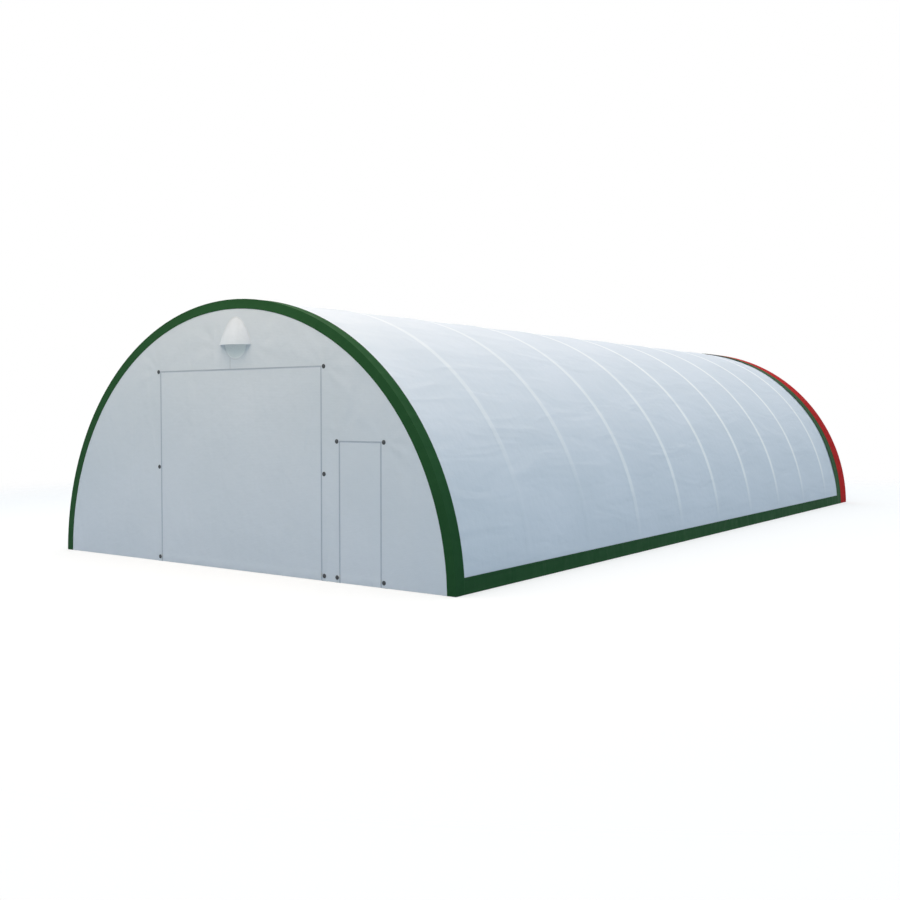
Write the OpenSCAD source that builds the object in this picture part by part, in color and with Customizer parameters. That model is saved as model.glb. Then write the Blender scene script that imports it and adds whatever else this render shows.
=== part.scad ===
// Fabric storage shelter: a round-arched steel frame under one stretched cover,
// with fabric end walls, a roll-up main door, a zipped side door and a hooded vent
// in each end. Millimetres, +Z up, +Y towards the rear, origin on the ground at the
// middle of the plan.

/* [Overall] */
// Width over the side bands at ground level
shelter_width = 9150; // [7500:50:12000]
// Length over the faces of the two end bands
shelter_length = 20000; // [8000:100:40000]
// Height of the ridge over the end bands
shelter_height = 4500; // [3700:50:6000]
// Number of bays between the arches
bays = 10; // [4:1:20]

/* [Fabric] */
// Thickness of the panels, bands and hems
fabric_t = 4; // [2:0.5:8]
// Height of the lower edge of the fabric above the ground
ground_gap = 5; // [2:1:30]
// Clearance between neighbours that curve or slide past each other
fit = 0.3; // [0.1:0.05:1]

/* [Bands] */
// Width of the end bands on the end walls
band_face_w = 160; // [60:5:300]
// Width of the front band on the roof
front_band_w = 220; // [100:5:600]
// Width of the rear band on the roof
rear_band_w = 370; // [100:5:800]
// Width of the outer binding of the rear edge on the roof
rear_binding_w = 550; // [40:5:800]
// Height of the band along each side
base_band_h = 250; // [100:5:500]

/* [Main door] */
// Width of the doorway
main_door_w = 3800; // [2400:50:4600]
// Sideways place of the middle of the doorway
main_door_x = 105; // [-300:5:300]
// Drop from the ridge to the head of the doorway
main_door_drop = 1160; // [1000:10:2000]

/* [Side door] */
// Width of the doorway
side_door_w = 820; // [600:10:1200]
// Strip of end wall between the two doorways
side_door_gap = 375; // [240:5:600]
// Height of the head of the doorway above the ground
side_door_h = 2180; // [1900:10:2400]

/* [Door trim] */
// Width of the zip tape round each door
zip_w = 25; // [15:1:60]
// Thickness of the zip tape
zip_t = 3; // [1:0.5:6]
// Diameter of the fastener pads beside the doors
fastener_d = 70; // [40:5:120]
// Thickness of the fastener pads
fastener_t = 8; // [4:1:20]
// Distance of the fastener pads and posts outside the edge of the doorway
fastener_offset = 55; // [45:5:80]
// Height of the lowest fastener pads
low_fastener_z = 80; // [60:5:300]

/* [Vent] */
// Sideways place of the vents
vent_x = 105; // [-300:5:300]
// Drop from the ridge to the lower edge of the hood
vent_drop = 760; // [600:10:900]
// Width of the hood at its lower edge
hood_w = 730; // [500:10:900]
// Height of the hood
hood_h = 457; // [300:1:500]
// How far the hood stands out from the end wall
hood_out = 200; // [100:5:300]
// Radius of the side curve of the hood, from its lower edge to its tip
hood_side_r = 1600; // [1300:50:4000]
// Radius of the round vent opening
vent_r = 270; // [150:5:300]
// Height of the middle of the opening over the lower edge of the hood
vent_rise = 40; // [0:5:100]
// Thickness of the vent screen
mesh_t = 2; // [1:0.5:4]

/* [Frame] */
// Diameter of the arch tube
arch_d = 60; // [42:1:90]
// Diameter of the purlin tube
purlin_d = 42; // [25:1:60]
// Purlin lines on each side of the ridge
side_purlins = 2; // [2:1:2]
// Side of the square base rail
rail_w = 50; // [30:5:80]
// Side of the square posts and headers
post_w = 60; // [40:5:80]
// Height of the underside of each header over the doorway
header_gap = 10; // [5:5:60]
// Sideways place of the rear posts from the middle
rear_post_x = 1850; // [1000:50:2400]
// Height of the underside of the rear girt
rear_girt_z = 2200; // [1000:50:2800]

/* [Feet] */
// Length of each arch foot plate across the shelter
foot_l = 240; // [200:5:400]
// Width of the foot plates along the shelter
foot_w = 160; // [140:5:300]
// Thickness of the foot plates
foot_t = 8; // [5:1:16]
// Diameter of the bolt holes
bolt_d = 14; // [8:1:24]
// Distance between the two bolt holes of an arch foot
bolt_spacing = 100; // [60:5:120]
// Distance of the bolt holes from the inner edge of the foot plate
bolt_inset = 65; // [25:5:80]
// Width of the foot plates under the posts
post_foot_w = 120; // [80:5:140]

/* [Hidden] */
arc_fn = 360;
round_fn = 48;

// Outer radius of the bands and height of the axis that all arcs share
band_r = (pow(shelter_width / 2, 2) + pow(shelter_height, 2)) / (2 * shelter_height);
axis_z = shelter_height - band_r;
cover_r = band_r - fabric_t - fit;
arch_r = cover_r - fabric_t - fit - arch_d / 2;
arch_in_r = arch_r - arch_d / 2;

// Stations along the shelter, as distances from its middle
end_y = shelter_length / 2;
wall_y = end_y - fabric_t;
wall_back_y = wall_y - fabric_t;
end_arch_y = wall_back_y - fit - arch_d / 2;
arch_pitch = 2 * end_arch_y / bays;

// Heights and edges of the doors and vents
main_door_h = shelter_height - main_door_drop;
side_door_x = main_door_x + (main_door_w + side_door_w) / 2 + side_door_gap;
hood_z = shelter_height - vent_drop;
vent_z = hood_z + vent_rise;
post_offset = fastener_offset;

// Polar angles of the purlin lines, evenly spaced from the ground to the ridge
foot_angle = asin(-axis_z / arch_r);
purlin_step = (90 - foot_angle) / (side_purlins + 1);

// Plan places of the feet and base rails. The foot plates reach nearer to the fabric
// than the tubes on them do.
function half_width(r, z) = sqrt(pow(r, 2) - pow(z - axis_z, 2));
foot_gap = fit / 2;
cover_in_r = cover_r - fabric_t;
foot_out_x = min(half_width(cover_in_r, ground_gap), half_width(cover_in_r, foot_t)) - foot_gap;
bolt_x = foot_out_x - foot_l + bolt_inset;
rail_out_x = min(half_width(arch_in_r, foot_t), half_width(arch_in_r, foot_t + rail_w)) - fit;

// The hood is part of a bulb whose axis stands behind the end wall
hood_plan_r = (pow(hood_w / 2, 2) + pow(hood_out, 2)) / (2 * hood_out);
hood_axis_in = hood_plan_r - hood_out;
hood_chord = norm([hood_out, hood_h]);
hood_sink = sqrt(pow(hood_side_r, 2) - pow(hood_chord / 2, 2)) / hood_chord;
hood_curve_x = hood_plan_r - hood_out / 2 - hood_sink * hood_h;
hood_curve_z = hood_h / 2 - hood_sink * hood_out;

arch_names = [for (i = [1:bays + 1]) str("arch_", i < 10 ? "0" : "", i)];

// An outline in x and z, extruded between two stations along the shelter
module between(y_from, y_to) {
    translate([0, y_to, 0])
        rotate([90, 0, 0])
            linear_extrude(height = y_to - y_from)
                children();
}

// A ring round the shelter's axis, kept between two heights
module arc_strip(r_out, r_in, z_from, z_to) {
    intersection() {
        translate([0, axis_z])
            difference() {
                circle(r = r_out, $fn = arc_fn);
                circle(r = r_in, $fn = arc_fn);
            }
        translate([-r_out, z_from])
            square([2 * r_out, z_to - z_from]);
    }
}

// The filled end section down to a given height
module end_section(r, z_from) {
    intersection() {
        translate([0, axis_z])
            circle(r = r, $fn = arc_fn);
        translate([-r, z_from])
            square([2 * r, shelter_height]);
    }
}

module doorway(x, w, h) {
    translate([x - w / 2, 0])
        square([w, h]);
}

module vent_hole(r) {
    translate([vent_x, vent_z])
        circle(r = r, $fn = round_fn);
}

module roof_cover() {
    color("#c9d4e0")
        between(-wall_back_y, wall_back_y)
            arc_strip(cover_r, cover_r - fabric_t, ground_gap, shelter_height);
}

module front_wall() {
    color("#c2c8d0")
        between(-wall_y, -wall_back_y)
            difference() {
                end_section(cover_r, ground_gap);
                doorway(main_door_x, main_door_w, main_door_h);
                doorway(side_door_x, side_door_w, side_door_h);
                vent_hole(vent_r);
            }
}

module rear_wall() {
    color("#c2c8d0")
        between(wall_back_y, wall_y)
            difference() {
                end_section(cover_r, ground_gap);
                vent_hole(vent_r);
            }
}

// A strip on the roof that turns onto the face of the end wall
module corner_band(roof_w) {
    between(-end_y, -wall_y)
        arc_strip(band_r, band_r - band_face_w, ground_gap, shelter_height);
    between(-wall_y, roof_w - end_y)
        arc_strip(band_r, cover_r + fit, ground_gap, shelter_height);
}

module front_edge_band() {
    color("#24402a")
        corner_band(front_band_w);
}

module rear_edge_band() {
    band_end_y = end_y - rear_binding_w;
    color("#24402a")
        between(band_end_y - rear_band_w, band_end_y)
            arc_strip(band_r, cover_r + fit, ground_gap, shelter_height);
}

module rear_edge_binding() {
    color("#972e2b")
        mirror([0, 1, 0])
            corner_band(rear_binding_w);
}

// The side band runs between the front band and the rear band
module base_band(side) {
    rear_start_y = end_y - rear_binding_w - rear_band_w;
    color("#24402a")
        between(front_band_w - end_y, rear_start_y)
            intersection() {
                arc_strip(band_r, cover_r + fit, ground_gap, base_band_h);
                translate([side > 0 ? 0 : -band_r, 0])
                    square([band_r, base_band_h]);
            }
}

// A door panel lies in its doorway, flush with the end wall
module door_panel(x, w, h) {
    color("#c2c8d0")
        between(-wall_y, -wall_back_y)
            translate([x - w / 2 + fit, ground_gap])
                square([w - 2 * fit, h - ground_gap - fit]);
}

// Zip tape up both sides and over the head, half on the door and half on the wall
module door_zip(x, w, h) {
    color("#9aa1a8")
        between(-wall_y - zip_t, -wall_y)
            difference() {
                translate([x - w / 2 - zip_w / 2, ground_gap])
                    square([w + zip_w, h + zip_w / 2 - ground_gap]);
                translate([x - w / 2 + zip_w / 2, 0])
                    square([w - zip_w, h - zip_w / 2]);
            }
}

module fastener_column(x, heights) {
    for (z = heights)
        translate([x, z])
            circle(d = fastener_d, $fn = round_fn);
}

module door_fasteners() {
    color("#3c4046")
        between(-wall_y - fastener_t, -wall_y) {
            for (side = [-1, 1])
                fastener_column(main_door_x + side * (main_door_w / 2 + fastener_offset),
                    [low_fastener_z, main_door_h / 2, main_door_h]);
            for (side = [-1, 1])
                fastener_column(side_door_x + side * (side_door_w / 2 + fastener_offset),
                    [low_fastener_z, side_door_h]);
        }
}

// The section of the hood's bulb through its own axis
module hood_profile(plan_r, side_r) {
    intersection() {
        translate([hood_curve_x, hood_curve_z])
            circle(r = side_r, $fn = arc_fn);
        square([plan_r, 2 * hood_h]);
    }
}

module hood_bulb(inset) {
    rotate_extrude($fn = arc_fn)
        hood_profile(hood_plan_r - inset, hood_side_r - inset);
}

module vent_hood() {
    color("#dfe3e6")
        intersection() {
            translate([vent_x, hood_axis_in - wall_y, hood_z])
                difference() {
                    hood_bulb(0);
                    translate([0, 0, -fit])
                        hood_bulb(fabric_t);
                }
            translate([vent_x - hood_w, -wall_y - 2 * hood_out, hood_z])
                cube([2 * hood_w, 2 * hood_out, 2 * hood_h]);
        }
}

module vent_screen() {
    mid_y = -(wall_y + wall_back_y) / 2;
    color("#aeb6ba")
        between(mid_y - mesh_t / 2, mid_y + mesh_t / 2)
            vent_hole(vent_r - fit);
}

// Foot plate with two bolt holes, on the side given by its sign
module arch_foot(side, mid_y) {
    translate([side * (foot_out_x - foot_l / 2), mid_y, 0])
        difference() {
            translate([-foot_l / 2, -foot_w / 2, 0])
                cube([foot_l, foot_w, foot_t]);
            for (bolt_side = [-1, 1])
                translate([side * (bolt_inset - foot_l / 2), bolt_side * bolt_spacing / 2, -1])
                    cylinder(h = foot_t + 2, d = bolt_d, $fn = round_fn);
        }
}

// The feet of the first and last arch stand wholly inside the end walls
module arch(index) {
    y = -end_arch_y + (index - 1) * arch_pitch;
    foot_reach = wall_back_y - foot_gap - foot_w / 2;
    foot_y = max(-foot_reach, min(foot_reach, y));
    color("#8f969b") {
        intersection() {
            translate([0, y, axis_z])
                rotate([90, 0, 0])
                    rotate_extrude($fn = arc_fn)
                        translate([arch_r, 0])
                            circle(d = arch_d, $fn = round_fn);
            translate([-band_r, y - arch_d, foot_t])
                cube([2 * band_r, 2 * arch_d, shelter_height]);
        }
        for (side = [-1, 1])
            arch_foot(side, foot_y);
    }
}

// One length of tube in each bay, butted against the arches
module purlin(angle) {
    length = arch_pitch - arch_d - 2 * fit;
    color("#8f969b")
        for (bay = [0:bays - 1])
            translate([arch_r * cos(angle), -end_arch_y + bay * arch_pitch + arch_d / 2 + fit,
                axis_z + arch_r * sin(angle)])
                rotate([-90, 0, 0])
                    cylinder(h = length, d = purlin_d, $fn = round_fn);
}

module base_rail(side) {
    length = 2 * end_arch_y + arch_d;
    x = side > 0 ? rail_out_x - rail_w : -rail_out_x;
    color("#8f969b")
        translate([x, -length / 2, foot_t])
            cube([rail_w, length, rail_w]);
}

// A post in the plane of an end arch, its head mitred to the arch and its foot on a plate
module end_post(x, end) {
    arch_side_y = wall_back_y - fit;
    head_r = arch_in_r - fit;
    color("#8f969b")
        mirror([0, end > 0 ? 0 : 1, 0]) {
            between(arch_side_y - post_w, arch_side_y)
                intersection() {
                    translate([0, axis_z])
                        rotate(acos(x / head_r))
                            translate([-head_r, -head_r])
                                square(2 * head_r);
                    translate([x - post_w / 2, foot_t])
                        square([post_w, shelter_height]);
                }
            difference() {
                translate([x - post_foot_w / 2, arch_side_y - foot_w, 0])
                    cube([post_foot_w, foot_w, foot_t]);
                translate([x, arch_side_y - (post_w + foot_w) / 2, -1])
                    cylinder(h = foot_t + 2, d = bolt_d, $fn = round_fn);
            }
        }
}

// A level member between two posts
module header(x_from, x_to, z, end) {
    arch_side_y = wall_back_y - fit;
    color("#8f969b")
        mirror([0, end > 0 ? 0 : 1, 0])
            translate([x_from + post_w / 2, arch_side_y - post_w, z])
                cube([x_to - x_from - post_w, post_w, post_w]);
}

main_left_x = main_door_x - main_door_w / 2 - post_offset;
main_right_x = main_door_x + main_door_w / 2 + post_offset;
side_left_x = side_door_x - side_door_w / 2 - post_offset;
side_right_x = side_door_x + side_door_w / 2 + post_offset;
main_header_z = main_door_h + header_gap;
side_header_z = side_door_h + header_gap;

roof_cover();
front_wall();
rear_wall();
front_edge_band();
rear_edge_band();
rear_edge_binding();
base_band(-1);  // left_base_band
base_band(1);  // right_base_band
door_panel(main_door_x, main_door_w, main_door_h);  // main_door_curtain
door_zip(main_door_x, main_door_w, main_door_h);  // main_door_zip
door_panel(side_door_x, side_door_w, side_door_h);  // side_door_panel
door_zip(side_door_x, side_door_w, side_door_h);  // side_door_zip
door_fasteners();
vent_hood();  // front_vent_hood
mirror([0, 1, 0]) vent_hood();  // rear_vent_hood
vent_screen();  // front_vent_screen
mirror([0, 1, 0]) vent_screen();  // rear_vent_screen
purlin(90);  // ridge_purlin
purlin(90 + purlin_step);  // left_upper_purlin
purlin(90 - purlin_step);  // right_upper_purlin
purlin(180 - foot_angle - purlin_step);  // left_lower_purlin
purlin(foot_angle + purlin_step);  // right_lower_purlin
base_rail(-1);  // left_base_rail
base_rail(1);  // right_base_rail
end_post(main_left_x, -1);  // main_door_left_post
end_post(main_right_x, -1);  // main_door_right_post
header(main_left_x, main_right_x, main_header_z, -1);  // main_door_header
end_post(side_left_x, -1);  // side_door_left_post
end_post(side_right_x, -1);  // side_door_right_post
header(side_left_x, side_right_x, side_header_z, -1);  // side_door_header
end_post(-rear_post_x, 1);  // rear_left_post
end_post(rear_post_x, 1);  // rear_right_post
header(-rear_post_x, rear_post_x, rear_girt_z, 1);  // rear_girt
for (i = [1:bays + 1])
    arch(i);
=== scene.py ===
import math

import bmesh
import bpy
import numpy as np
from mathutils import Matrix, Vector
from mathutils.geometry import delaunay_2d_cdt


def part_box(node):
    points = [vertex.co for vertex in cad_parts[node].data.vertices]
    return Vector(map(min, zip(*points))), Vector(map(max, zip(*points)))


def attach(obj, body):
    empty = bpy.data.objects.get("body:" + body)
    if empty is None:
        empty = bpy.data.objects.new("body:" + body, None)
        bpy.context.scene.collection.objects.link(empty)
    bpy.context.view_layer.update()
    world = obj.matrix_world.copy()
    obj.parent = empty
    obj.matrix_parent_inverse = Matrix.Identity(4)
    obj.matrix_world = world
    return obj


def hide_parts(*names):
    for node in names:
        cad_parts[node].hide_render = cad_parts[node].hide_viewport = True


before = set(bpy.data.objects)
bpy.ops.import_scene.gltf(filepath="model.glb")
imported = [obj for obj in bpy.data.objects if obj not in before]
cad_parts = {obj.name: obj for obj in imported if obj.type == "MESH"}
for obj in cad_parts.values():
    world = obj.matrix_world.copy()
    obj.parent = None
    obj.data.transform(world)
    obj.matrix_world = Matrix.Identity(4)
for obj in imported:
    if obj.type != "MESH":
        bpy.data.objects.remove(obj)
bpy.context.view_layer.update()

# Sizes in metres. Every arc is struck from one line at the height AXIS_Z, just below the ground.
HALF_WIDTH, HEIGHT, END_Y = 4.575, 4.5, 10.0
FABRIC, FIT, HEM_Z = 0.004, 0.0003, 0.005
TUBE_R, PURLIN_R = 0.030, 0.021
BAND_R = (HALF_WIDTH ** 2 + HEIGHT ** 2) / (2 * HEIGHT)
AXIS_Z = HEIGHT - BAND_R
COVER_R = BAND_R - FABRIC - FIT
ARCH_R = COVER_R - FABRIC - FIT - TUBE_R
WALL_Y = END_Y - FABRIC
END_ARCH_Y = WALL_Y - FABRIC - FIT - TUBE_R
BAY = END_ARCH_Y / 5
ARCH_YS = [-END_ARCH_Y + BAY * k for k in range(11)]
FOOT_ANGLE = math.asin(-AXIS_Z / ARCH_R)
PURLIN_STEP = (math.pi - 2 * FOOT_ANGLE) / 6

# Strips welded over the arches, and how far the cover draws inwards midway between them: at the
# purlins, and how much further between those
STRIP_W, STRIP_T, STRIP_EDGE_IN, STRIP_EDGE_OUT = 0.150, 0.0020, 0.025, 0.004
HOLLOW_AT_PURLINS, HOLLOW_BETWEEN = 0.008, 0.012

# Bands on the end walls, the roof and the sides, how far the bent and the base bands ripple, and
# their hems and stitching
FACE_BAND, FRONT_BAND, REAR_BINDING, REAR_BAND, BASE_BAND = 0.160, 0.220, 0.550, 0.370, 0.250
REAR_FROM, REAR_TO = END_Y - REAR_BINDING - REAR_BAND, END_Y - REAR_BINDING
ARC_PUCKER, BASE_RIPPLE = 0.0005, 0.0012
HEM_W, HEM_T, BEND_R, STITCH_IN, STITCH_PITCH = 0.026, 0.0012, 0.006, 0.012, 0.024

# Doors as the x of the middle, the width and the height of the head. Posts and pads stand
# JAMB_OUT from a doorway's sides.
MAIN_DOOR, SIDE_DOOR = (0.105, 3.8, 3.34), (2.79, 0.82, 2.18)
DOORS = (MAIN_DOOR, SIDE_DOOR)
JAMB_OUT, LOW_PAD_Z = 0.055, 0.080
ZIP_W, ZIP_T, TOOTH_PITCH, SLIDER_Z = 0.025, 0.0012, 0.008, 0.115

# The cloth of the end walls: how far it bellies and is pulled, how far a door bellies, how far
# the bar in its foot pocket shows, and the lap in the front wall
WALL_BELLY, WALL_PULL, DOOR_BELLY, POCKET_OUT = 0.013, 0.008, 0.010, 0.007
LAP_X, LAP_W, LAP_T, LAP_SUNK = -0.03, 0.030, 0.0012, 0.001

# The hood is round about an upright axis HOOD_AXIS behind the wall. Its side is an arc from its
# lower edge to the wall, and HOOD_CURVE is the centre of that arc, as its reach and its height.
VENT_X, VENT_Z, VENT_R = 0.105, 3.78, 0.270
HOOD_Z, HOOD_W, HOOD_H, HOOD_OUT, HOOD_SIDE_R = 3.74, 0.730, 0.457, 0.200, 1.600
HOOD_T, HOOD_RIM_R = 0.004, 0.0065
HOOD_PLAN_R = ((HOOD_W / 2) ** 2 + HOOD_OUT ** 2) / (2 * HOOD_OUT)
HOOD_AXIS = HOOD_PLAN_R - HOOD_OUT
HOOD_SINK = math.sqrt(HOOD_SIDE_R ** 2 / (HOOD_OUT ** 2 + HOOD_H ** 2) - 0.25)
HOOD_CURVE = (HOOD_PLAN_R - HOOD_OUT / 2 - HOOD_SINK * HOOD_H, HOOD_H / 2 - HOOD_SINK * HOOD_OUT)

# Posts as their x and the end they stand at, -1 for the front and 1 for the rear
POST_W, REAR_POST_X, TUBE_CORNER_R = 0.060, 1.85, 0.005
POSTS = [(x + side * (width / 2 + JAMB_OUT), -1) for x, width, head in DOORS for side in (-1, 1)]
POSTS += [(-REAR_POST_X, 1), (REAR_POST_X, 1)]

# Foot plates and their bolt holes, weld beads and purlin clamps
FOOT_L, FOOT_W, FOOT_T, BOLT_INSET, BOLT_GAP = 0.240, 0.160, 0.008, 0.065, 0.100
BEAD_OUT, RIPPLE_PITCH, CLAMP_FIT, CLAMP_T = 0.001, 0.0032, 0.0004, 0.0032


# ---------------------------------------------------------------- helpers

def linear(hex_colour):
    """An sRGB hex colour as linear red, green, blue and alpha."""
    channels = [int(hex_colour[i:i + 2], 16) / 255 for i in (1, 3, 5)]
    return (*[c / 12.92 if c <= 0.04045 else ((c + 0.055) / 1.055) ** 2.4 for c in channels], 1.0)


def add_node(tree, kind, inputs=None, **settings):
    """Adds a node with its settings. An input is a value, a socket to link, or a node, whose
    first output is linked."""
    node = tree.nodes.new(kind)
    for name, value in settings.items():
        setattr(node, name, value)
    for key, value in (inputs or {}).items():
        if isinstance(value, bpy.types.Node):
            value = value.outputs[0]
        if isinstance(value, bpy.types.NodeSocket):
            tree.links.new(value, node.inputs[key])
        else:
            node.inputs[key].default_value = value
    return node


def smoothstep(low, high, x):
    """Rises smoothly from 0 at low to 1 at high."""
    t = np.clip((np.asarray(x, float) - low) / (high - low), 0, 1)
    return t * t * (3 - 2 * t)


def circle_loop(x, z, radius, count):
    """A closed loop of 2D points round a circle."""
    turns = np.arange(count) * 2 * math.pi / count
    return [(x + radius * math.cos(a), z + radius * math.sin(a)) for a in turns]


def arc_point(radius, angle, y):
    """A point on an arc of the shelter, whose angle is measured up from the right side."""
    return (radius * math.cos(angle), y, AXIS_Z + radius * math.sin(angle))


def hem_angle(radius, z=HEM_Z):
    """The angle at which an arc of this radius is at height z."""
    return math.asin((z - AXIS_Z) / radius)


def divided(line, spacing):
    """A line of points with its long stretches divided."""
    points = []
    for a, b in zip(np.array(line, float), np.array(line[1:], float)):
        count = max(1, math.ceil(np.linalg.norm(b - a) / spacing))
        points += [tuple(a + (b - a) * k / count) for k in range(count)]
    return [*points, tuple(line[-1])]


def add_object(name, data):
    made = bpy.data.objects.new(name, data)
    bpy.context.scene.collection.objects.link(made)
    return made


def give_uv(mesh, u, v):
    """A UV map in metres, from the u and the v of each vertex."""
    corners = np.empty(len(mesh.loops), np.int32)
    mesh.loops.foreach_get("vertex_index", corners)
    pairs = np.stack([u, v], 1).astype(np.float32)[corners]
    mesh.uv_layers.new(name="UVMap").data.foreach_set("uv", pairs.ravel())


def vertex_places(mesh):
    """The x, the y and the z of each vertex, as three rows."""
    places = np.empty(3 * len(mesh.vertices), np.float32)
    mesh.vertices.foreach_get("co", places)
    return places.reshape(-1, 3).T


def make_object(name, vertices, faces, edges=()):
    mesh = bpy.data.meshes.new(name)
    mesh.from_pydata([tuple(v) for v in np.asarray(vertices, float)], edges,
                     [tuple(f) for f in faces])
    return add_object(name, mesh)


def moved(piece, x, y, z):
    piece.data.transform(Matrix.Translation((x, y, z)))
    return piece


def face_outwards(piece):
    """Merges doubles and turns the faces of a closed piece outwards."""
    bm = bmesh.new()
    bm.from_mesh(piece.data)
    bmesh.ops.remove_doubles(bm, verts=bm.verts, dist=1e-6)
    bmesh.ops.recalc_face_normals(bm, faces=bm.faces)
    bm.to_mesh(piece.data)
    bm.free()


def finish_piece(piece, nodes=(), material=None, crease=35):
    """Gives a finished piece its body, hides the CAD nodes it stands for, and gives it a material
    unless it has its own. Edges sharper than crease, in degrees, stay sharp."""
    if material is not None:
        piece.data.materials.clear()
        piece.data.materials.append(material)
    piece.data.shade_smooth()
    piece.data.set_sharp_from_angle(angle=math.radians(crease))
    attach(piece, "root")
    if nodes:
        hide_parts(*nodes)


def grid_faces(rows, columns):
    """The faces of a grid of vertices, stored row by row."""
    i, j = np.meshgrid(np.arange(rows - 1), np.arange(columns - 1), indexing="ij")
    first = (i * columns + j).ravel()
    return np.stack([first, first + columns, first + columns + 1, first + 1], 1).tolist()


def closed_sheet(front, back, faces):
    """Vertices and faces of a closed sheet between two surfaces that share their faces."""
    count = len(front)
    edges = {(a, b) for f in faces for a, b in zip(f, [*f[1:], f[0]])}
    rim = [(b, a, a + count, b + count) for a, b in sorted(edges) if (b, a) not in edges]
    behind = [[i + count for i in reversed(f)] for f in faces]
    return np.vstack([front, back]), [*faces, *behind, *rim]


def sweep(name, rings, closed=False):
    """A solid through rings of as many points each, capped unless it closes on itself."""
    rings = np.asarray(rings, float)
    count, sides = rings.shape[:2]
    faces = []
    for i in range(count if closed else count - 1):
        a, b = i * sides, (i + 1) % count * sides
        faces += [(a + j, b + j, b + (j + 1) % sides, a + (j + 1) % sides) for j in range(sides)]
    if not closed:
        faces += [tuple(range(sides)), tuple(range((count - 1) * sides, count * sides))]
    piece = make_object(name, rings.reshape(-1, 3), faces)
    face_outwards(piece)
    return piece


def strip_along(name, line, facing, section):
    """A solid along an open line. Its section is points of (across, out), with out measured along
    the direction that the strip faces."""
    line, facing = np.array(line), np.array(facing, float)
    ahead = np.vstack([line[1:], line[-1:]]) - np.vstack([line[:1], line[:-1]])
    side = np.cross(ahead, facing)
    side /= np.linalg.norm(side, axis=1)[:, None]
    return sweep(name, [[p + s * across + facing * out for across, out in section]
                        for p, s in zip(line, side)])


def join(name, pieces):
    """One object from several, each with the material it has, if any."""
    bm = bmesh.new()
    materials = []
    for piece in pieces:
        start = len(bm.faces)
        bm.from_mesh(piece.data)
        bm.faces.ensure_lookup_table()
        own = piece.data.materials[0] if piece.data.materials else None
        if own not in materials:
            materials.append(own)
        for face in bm.faces[start:]:
            face.material_index = materials.index(own)
        bpy.data.objects.remove(piece)
    mesh = bpy.data.meshes.new(name)
    bm.to_mesh(mesh)
    bm.free()
    for material in materials:
        mesh.materials.append(material)
    return add_object(name, mesh)


# ---------------------------------------------------------------- materials

# A wave texture repeats once a metre at this scale, so a pitch in metres divides it.
WAVE_SCALE = 0.314159

# The places of a Mix node's two colours among its inputs, and of their mix among its outputs
COLOUR_A, COLOUR_B, MIXED = 6, 7, 2


def new_material(name):
    """A material and its empty node tree."""
    material = bpy.data.materials.new(name)
    material.use_nodes = True
    material.node_tree.nodes.clear()
    return material, material.node_tree


def end_material(tree, tone, colours, surface, relief=None):
    """Ends a material. tone mixes its two hex colours, surface holds the other inputs of its
    shader, and relief is the height, the strength and the depth in metres of its bump."""
    mixed = add_node(tree, "ShaderNodeMix", {
        "Factor": tone, COLOUR_A: linear(colours[0]), COLOUR_B: linear(colours[1])},
        data_type="RGBA").outputs[MIXED]
    inputs = surface | {"Base Color": mixed}
    if relief:
        height, strength, depth = relief
        inputs["Normal"] = add_node(tree, "ShaderNodeBump", {"Height": height, "Strength": strength,
                                                             "Distance": depth})
    shader = add_node(tree, "ShaderNodeBsdfPrincipled", inputs)
    add_node(tree, "ShaderNodeOutputMaterial", {"Surface": shader})


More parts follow.
